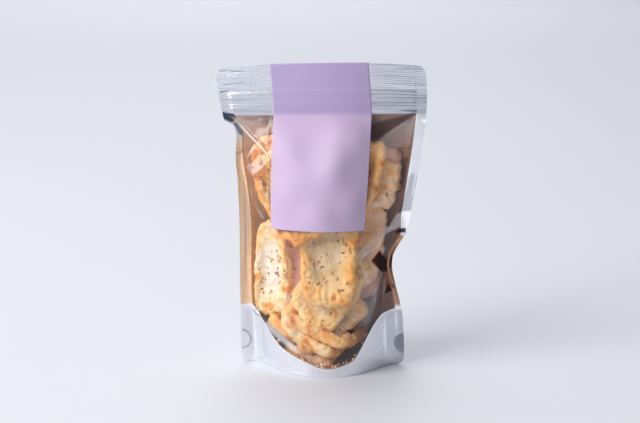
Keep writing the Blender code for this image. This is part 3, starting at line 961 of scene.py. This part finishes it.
# ---------------------------------------------------------------- materials
class Shading:
    """A material's node tree, with a short call for each kind of node that is used."""

    def __init__(self, name):
        self.material = bpy.data.materials.new(name)
        self.material.use_nodes = True
        self.tree = self.material.node_tree
        self.principled = self.tree.nodes["Principled BSDF"]
        self.space = self.node("ShaderNodeTexCoord").outputs["Object"]

    def node(self, kind, **settings):
        made = self.tree.nodes.new(kind)
        for name, value in settings.items():
            setattr(made, name, value)
        return made

    def put(self, socket, value):
        """Sets a socket, or links it if the value is another socket."""
        if isinstance(value, bpy.types.NodeSocket):
            self.tree.links.new(value, socket)
        elif isinstance(value, tuple) and len(value) == 3 and socket.type == "RGBA":
            socket.default_value = (*value, 1.0)
        else:
            socket.default_value = value

    def surface(self, **values):
        """Sets sockets of the Principled shader: Base_Color stands for Base Color."""
        for name, value in values.items():
            self.put(self.principled.inputs[name.replace("_", " ")], value)

    def noise(self, scale, detail=3.0, roughness=0.55, space=None):
        texture = self.node("ShaderNodeTexNoise")
        self.put(texture.inputs["Scale"], scale)
        self.put(texture.inputs["Detail"], detail)
        self.put(texture.inputs["Roughness"], roughness)
        self.put(texture.inputs["Vector"], space or self.space)
        return texture.outputs["Fac"]

    def stretched(self, x, y, z):
        node = self.node("ShaderNodeMapping")
        self.put(node.inputs["Vector"], self.space)
        node.inputs["Scale"].default_value = (x, y, z)
        return node.outputs["Vector"]

    def attribute(self, name):
        return self.node("ShaderNodeAttribute", attribute_name=name).outputs["Fac"]

    def ramp(self, source, *stops):
        node = self.node("ShaderNodeValToRGB")
        elements = node.color_ramp.elements
        while len(elements) < len(stops):
            elements.new(0.5)
        for element, (place, colour) in zip(elements, stops):
            element.position = place
            element.color = (*colour, 1.0) if isinstance(colour, tuple) else (colour, colour, colour, 1.0)
        self.put(node.inputs["Fac"], source)
        return node.outputs["Color"]

    def span(self, source, low, high, start=0.0, end=1.0):
        """Maps low..high to start..end and holds it there."""
        node = self.node("ShaderNodeMapRange")
        for name, value in (("Value", source), ("From Min", low), ("From Max", high), ("To Min", start), ("To Max", end)):
            self.put(node.inputs[name], value)
        return node.outputs["Result"]

    def math(self, operation, first, second, clamp=False):
        node = self.node("ShaderNodeMath", operation=operation, use_clamp=clamp)
        self.put(node.inputs[0], first)
        self.put(node.inputs[1], second)
        return node.outputs["Value"]

    def blend(self, share, first, second, kind="MIX"):
        """Mixes two colours."""
        node = self.node("ShaderNodeMix", data_type="RGBA", blend_type=kind)
        self.put(node.inputs[0], share)
        self.put(node.inputs[6], first)
        self.put(node.inputs[7], second)
        return node.outputs[2]

    def bump(self, height, strength, distance, normal=None):
        node = self.node("ShaderNodeBump")
        self.put(node.inputs["Strength"], strength)
        self.put(node.inputs["Distance"], distance)
        self.put(node.inputs["Height"], height)
        if normal is not None:
            self.put(node.inputs["Normal"], normal)
        return node.outputs["Normal"]

    def shader(self, kind, **values):
        node = self.node(kind)
        for name, value in values.items():
            self.put(node.inputs[name], value)
        return node.outputs["BSDF"]

    def mixed(self, share, first, second):
        node = self.node("ShaderNodeMixShader")
        self.put(node.inputs[0], share)
        self.put(node.inputs[1], first)
        self.put(node.inputs[2], second)
        return node.outputs["Shader"]


def srgb(r, g, b):
    """Linear colour of 8-bit sRGB values."""
    return tuple(((v / 255 + 0.055) / 1.055) ** 2.4 if v > 10 else v / 255 / 12.92 for v in (r, g, b))


def bare_foil(name, dull, bright, rough, dent=0.35):
    """Aluminium foil: soft dents and a faint grain."""
    look = Shading(name)
    wide, fine = look.noise(60, 2.0), look.noise(350, 2.0)
    colour = look.ramp(wide, (0.3, dull), (0.7, bright))
    dents = look.bump(wide, dent, 0.0012)
    look.surface(
        Metallic=1.0,
        Base_Color=colour,
        Roughness=look.span(fine, 0.3, 0.7, rough * 0.94, rough * 1.06),
        Normal=look.bump(fine, 0.3 * dent, 0.0001, dents),
    )
    return look, colour


def foil():
    return bare_foil("foil", srgb(214, 216, 224), srgb(230, 231, 236), 0.22)[0].material


def lining():
    """The inner face of the foil: a dull lacquer with a painted warm reflection of the crackers round it. The painted
    light is golden down the left side, where the light comes in, turns to painted shade towards the right, and is
    weaker under the zip.
    """
    look, colour = bare_foil("foil_lining", srgb(216, 214, 212), srgb(255, 255, 255), 0.36)
    split = look.node("ShaderNodeSeparateXYZ")
    look.put(split.inputs["Vector"], look.space)
    across = look.span(split.outputs["X"], -0.056, 0.060)
    # painted reflected light and shade: golden on the left, darker brown towards the right
    low = look.ramp(
        across,
        (0.0, srgb(255, 214, 158)),
        (0.16, srgb(250, 200, 156)),
        (0.45, srgb(238, 182, 154)),
        (0.70, srgb(206, 158, 134)),
        (1.0, srgb(164, 118, 96)),
    )
    # weaker painted reflection under the zip
    high = look.ramp(across, (0.0, srgb(214, 190, 180)), (0.5, srgb(170, 132, 120)), (1.0, srgb(150, 122, 112)))
    painted_light_tint = look.blend(look.span(split.outputs["Z"], 0.148, 0.166), low, high)
    look.surface(Metallic=0.0, Base_Color=look.blend(1.0, colour, painted_light_tint, "MULTIPLY"))
    return look.material


# colours of the painted shade and the painted highlights on the foil
PAINTED_SHADE_COLOUR, PAINTED_HIGHLIGHT_COLOUR = srgb(40, 56, 82), srgb(252, 252, 255)
# colours of the painted reflection of the crackers in the side welds
REFLECTED_CRACKERS_LEFT, REFLECTED_CRACKERS_PALE, REFLECTED_CRACKERS_RIGHT = srgb(240, 174, 102), srgb(238, 212, 184), srgb(170, 130, 106)


def shaded(look, colour):
    """Paints shade and highlights into a colour, by the front's painted shade value."""
    tone = look.attribute("shade")
    darker = look.blend(look.span(tone, -0.02, -1.0), colour, PAINTED_SHADE_COLOUR)
    return look.blend(look.span(tone, 0.02, 1.0), darker, PAINTED_HIGHLIGHT_COLOUR)


def welded_foil():
    """Foil under the clear film that is welded to it, with a painted reflection of the crackers along its side welds
    and the front's painted shade and highlights.
    """
    look, colour = bare_foil("welded_foil", srgb(240, 242, 247), srgb(246, 247, 250), 0.26, 0.10)
    # painted reflection of the crackers: golden streaks on the left weld, a darker brown on the right
    warm = look.attribute("warm")
    streaks = look.noise(1.0, 3.0, 0.6, look.stretched(520, 40, 9))
    golden = look.ramp(streaks, (0.30, REFLECTED_CRACKERS_LEFT), (0.52, REFLECTED_CRACKERS_PALE), (0.70, REFLECTED_CRACKERS_LEFT))
    colour = look.blend(look.span(warm, 0.0, -1.0), colour, golden)
    colour = look.blend(look.span(warm, 0.0, 1.0), colour, REFLECTED_CRACKERS_RIGHT)
    look.surface(
        Base_Color=shaded(look, colour),
        Metallic=look.span(warm, 0.0, -1.0, 1.0, 0.75),
        Coat_Weight=0.4,
        Coat_Roughness=0.22,
    )
    return look.material


def crimped_foil():
    """The header: welded foil drawn out in fine level lines, with painted shade along them."""
    look, colour = bare_foil("crimped_foil", srgb(232, 233, 241), srgb(242, 243, 248), 0.26)
    lines = look.noise(1.0, 2.0, 0.6, look.stretched(26, 26, 1150))
    strong = look.noise(1.0, 1.0, 0.5, look.stretched(12, 12, 520))
    # painted shade along the crimp lines
    drawn = look.ramp(lines, (0.30, 0.62), (0.42, 0.96), (1.0, 1.0))
    deep = look.ramp(strong, (0.28, 0.50), (0.36, 1.0), (1.0, 1.0))
    colour = look.blend(0.75, colour, drawn, "MULTIPLY")
    colour = look.blend(0.8, colour, deep, "MULTIPLY")
    ridges = look.bump(lines, 0.5, 0.0004)
    look.surface(
        Base_Color=shaded(look, colour),
        Normal=look.bump(strong, 0.5, 0.0006, ridges),
        Coat_Weight=0.3,
        Coat_Roughness=0.3,
    )
    return look.material


def clear_film():
    """Thin clear film: what is behind it shows through a faint haze, under the film's gloss; painted shade darkens it
    and painted highlights and reflections whiten it.
    """
    look = Shading("clear_film")
    tone = look.attribute("shade")
    # painted shade: the film turns dark brown where the front's shade value is low
    painted_light_tint = look.blend(look.span(tone, -0.05, -1.0), (0.98, 0.975, 0.97), srgb(104, 52, 34))
    through = look.shader("ShaderNodeBsdfTransparent", Color=painted_light_tint)
    # a faint real haze, and painted highlights and reflections where the shade value is high
    haze_and_painted_light = look.shader("ShaderNodeBsdfDiffuse", Color=(0.90, 0.86, 0.85))
    haze = look.math("ADD", look.span(tone, 0.02, 1.0, 0.0, 0.85), 0.025, clamp=True)
    body = look.mixed(haze, through, haze_and_painted_light)
    ripple = look.bump(look.noise(45, 2.0), 0.35, 0.0012)
    gloss = look.shader("ShaderNodeBsdfGlossy", Roughness=0.13, Normal=ripple)
    facing = look.node("ShaderNodeLayerWeight")
    look.put(facing.inputs["Blend"], 0.5)
    grazing = look.math("POWER", facing.outputs["Facing"], 4.5)
    # the gloss fades where the painted shade is darkest
    share = look.math("MULTIPLY", look.span(grazing, 0.0, 1.0, 0.055, 0.80), look.span(tone, -1.0, -0.3, 0.0, 1.0))
    look.put(look.tree.nodes["Material Output"].inputs["Surface"], look.mixed(share, body, gloss))
    look.tree.nodes.remove(look.principled)
    return look.material


def paper():
    """The label: lilac paper, with painted shade where it lies on the header and towards its right side."""
    look = Shading("label_paper")
    fibres, cloud = look.noise(1800, 4.0, 0.7), look.noise(25, 2.0, 0.5)
    split = look.node("ShaderNodeSeparateXYZ")
    look.put(split.inputs["Vector"], look.space)
    body = look.ramp(cloud, (0.3, srgb(199, 175, 207)), (0.7, srgb(204, 181, 211)))
    # painted shade: the label is darker where it lies on the header
    header = look.blend(look.span(cloud, 0.3, 0.7), srgb(179, 160, 200), srgb(183, 164, 203))
    lift = look.span(split.outputs["Z"], (ZIP_FOOT + 1.5) * MM, (ZIP_FOOT - 1.5) * MM)
    # painted shade: the label darkens towards the right, away from the light
    across = look.ramp(look.span(split.outputs["X"], -0.032, 0.034), (0.0, 1.0), (0.45, 0.96), (1.0, 0.80))
    look.surface(
        Base_Color=look.blend(1.0, look.blend(lift, header, body), across, "MULTIPLY"),
        Roughness=0.55,
        Normal=look.bump(fibres, 0.12, 0.00008),
    )
    return look.material


def cracker_material():
    """Toasted rice: cream in the middle, golden on the rim, with toasted spots and fine pits; painted shade dulls some
    middles and a painted veil of reflected light covers deep crackers.
    """
    look = Shading("toasted_cracker")
    blotch, pits, fine = look.noise(150, 3.0, 0.6), look.noise(380, 3.0, 0.6), look.noise(900, 4.0, 0.65)
    patch = look.math("MULTIPLY", look.math("SUBTRACT", blotch, 0.5), 0.36)
    speckle = look.math("MULTIPLY", look.math("SUBTRACT", pits, 0.5), 0.22)
    amount = look.math("ADD", look.math("ADD", look.attribute("brown"), patch), speckle, clamp=True)
    colour = look.ramp(
        amount,
        (0.0, srgb(251, 234, 212)),
        (0.18, srgb(250, 222, 174)),
        (0.40, srgb(246, 198, 122)),
        (0.62, srgb(243, 168, 74)),
        (0.82, srgb(222, 128, 42)),
        (1.0, srgb(150, 70, 20)),
    )
    cells = look.node("ShaderNodeTexVoronoi")
    look.put(cells.inputs["Scale"], 210.0)
    look.put(cells.inputs["Vector"], look.space)
    flecks = look.span(cells.outputs["Distance"], 0.10, 0.20, 0.45, 0.0)
    colour = look.blend(flecks, colour, srgb(168, 112, 66))
    # painted shade dulls the middle of some crackers
    colour = look.blend(look.attribute("dull"), colour, srgb(206, 172, 116))
    # a painted veil of dim reflected light over crackers deep in the pouch
    colour = look.blend(look.attribute("depth"), colour, srgb(228, 176, 156))
    rough = look.bump(pits, 0.7, 0.0006)
    look.surface(
        Base_Color=colour,
        Roughness=0.55,
        Subsurface_Weight=0.18,
        Subsurface_Radius=(1.0, 0.55, 0.25),
        Subsurface_Scale=0.0018,
        Normal=look.bump(fine, 0.5, 0.00025, rough),
    )
    return look.material


def seed_material():
    look = Shading("sesame")
    colour = look.ramp(
        look.attribute("tone"),
        (0.0, srgb(158, 98, 62)),
        (0.6, srgb(196, 138, 92)),
        (1.0, srgb(222, 176, 128)),
    )
    look.surface(Base_Color=colour, Roughness=0.5)
    return look.material


def crumb_material():
    look = Shading("crumb")
    colour = look.ramp(
        look.attribute("tone"),
        (0.0, srgb(196, 142, 92)),
        (0.6, srgb(232, 190, 140)),
        (1.0, srgb(252, 244, 232)),
    )
    look.surface(Base_Color=colour, Roughness=0.6, Normal=look.bump(look.noise(900, 3.0), 0.5, 0.0003))
    return look.material


# ---------------------------------------------------------------- stage, light and camera
CAMERA_AZIMUTH = math.radians(4.6)
CAMERA_DISTANCE = 1.001
CAMERA_HEIGHT = 0.3044
CAMERA_PITCH = math.radians(11.21)
LENS = 85.0


def make_camera():
    data = bpy.data.cameras.new("camera")
    data.lens = LENS
    data.sensor_width = 36.0
    camera = bpy.data.objects.new("camera", data)
    camera.location = (
        CAMERA_DISTANCE * math.sin(CAMERA_AZIMUTH),
        -CAMERA_DISTANCE * math.cos(CAMERA_AZIMUTH),
        CAMERA_HEIGHT,
    )
    camera.rotation_euler = (math.pi / 2 - CAMERA_PITCH, 0.0, CAMERA_AZIMUTH)
    bpy.context.scene.collection.objects.link(camera)
    bpy.context.scene.camera = camera


def area_light(name, location, target, size, energy, colour=(1, 1, 1)):
    data = bpy.data.lights.new(name, "AREA")
    data.shape = "RECTANGLE"
    data.size, data.size_y = size
    data.energy = energy
    data.color = colour
    light = bpy.data.objects.new(name, data)
    light.location = location
    light.rotation_euler = (Vector(target) - Vector(location)).to_track_quat("-Z", "Y").to_euler()
    bpy.context.scene.collection.objects.link(light)


def make_floor():
    bpy.ops.mesh.primitive_plane_add(size=30.0, location=(0, 0, 0))
    floor = bpy.context.object
    floor.name = "floor"
    look = Shading("floor")
    look.surface(Base_Color=srgb(213, 214, 221), Roughness=0.6)
    floor.data.materials.append(look.material)


def make_world():
    """A pale studio that is brighter on the left and behind the camera's left shoulder."""
    world = bpy.data.worlds.new("studio")
    bpy.context.scene.world = world
    world.use_nodes = True
    nodes, links = world.node_tree.nodes, world.node_tree.links
    split = nodes.new("ShaderNodeSeparateXYZ")
    links.new(nodes.new("ShaderNodeTexCoord").outputs["Generated"], split.inputs["Vector"])

    def gradient(axis, *stops):
        node = nodes.new("ShaderNodeMapRange")
        node.inputs["From Min"].default_value = -1.0
        links.new(split.outputs[axis], node.inputs["Value"])
        shades = nodes.new("ShaderNodeValToRGB")
        elements = shades.color_ramp.elements
        while len(elements) < len(stops):
            elements.new(0.5)
        for element, (place, value) in zip(elements, stops):
            element.position = (place + 1.0) / 2.0
            element.color = (value, value, value, 1.0)
        links.new(node.outputs["Result"], shades.inputs["Fac"])
        return shades.outputs["Color"]

    across = gradient("X", (-1.0, 1.0), (-0.3, 0.86), (0.2, 0.48), (1.0, 0.24))
    upward = gradient("Z", (0.0, 1.0), (0.2, 1.0), (0.44, 0.60), (1.0, 0.95))
    both = nodes.new("ShaderNodeMath")
    both.operation = "MULTIPLY"
    links.new(across, both.inputs[0])
    links.new(upward, both.inputs[1])
    background = nodes["Background"]
    background.inputs["Color"].default_value = (0.90, 0.93, 1.0, 1.0)
    links.new(both.outputs["Value"], background.inputs["Strength"])


def make_stage():
    bpy.context.scene.view_settings.view_transform = "Standard"
    make_floor()
    make_world()
    area_light("key", (-1.7, -1.3, 1.45), (0, 0, 0.1), (1.6, 1.6), 54.0, (1.0, 0.985, 0.97))
    area_light("top", (-0.3, 1.2, 2.6), (0, 0, 0.0), (2.4, 1.6), 22.0)
    area_light("backdrop", (-0.75, 4.3, 2.5), (-0.75, 4.3, 0.0), (2.8, 2.4), 58.0)


def main():
    make_stage()
    make_camera()
    crackers, seeds, points = make_crackers()
    front_panel = Panel(10, 190, 60, 260, 110)
    front = front_base(front_panel.x, front_panel.h)
    front = front - front_push(front_panel, front, points) - front_relief(front_panel.x, front_panel.h)
    back_panel = Panel(6, 96, 30, 130, 90)
    back = back_base(back_panel.x, back_panel.h)
    back = back + back_push(back_panel, back, points)
    crumbs = make_crumbs(front_panel, front)
    crackers.data.materials.append(cracker_material())
    seeds.data.materials.append(seed_material())
    crumbs.data.materials.append(crumb_material())
    slots = {
        make_film(front_panel, front): "pouch_film",
        make_back(back_panel, back): "pouch_foil",
        make_gusset(front_panel, front, back_panel, back, points): "pouch_foil",
        make_label(front_panel, front, back_panel, back): "label_paper",
        crackers: "cracker",
        crumbs: "cracker",
        seeds: "sesame",
    }
    for piece, slot in slots.items():
        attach(piece, BODY)
        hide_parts("label" if slot == "label_paper" else "pouch")


main()
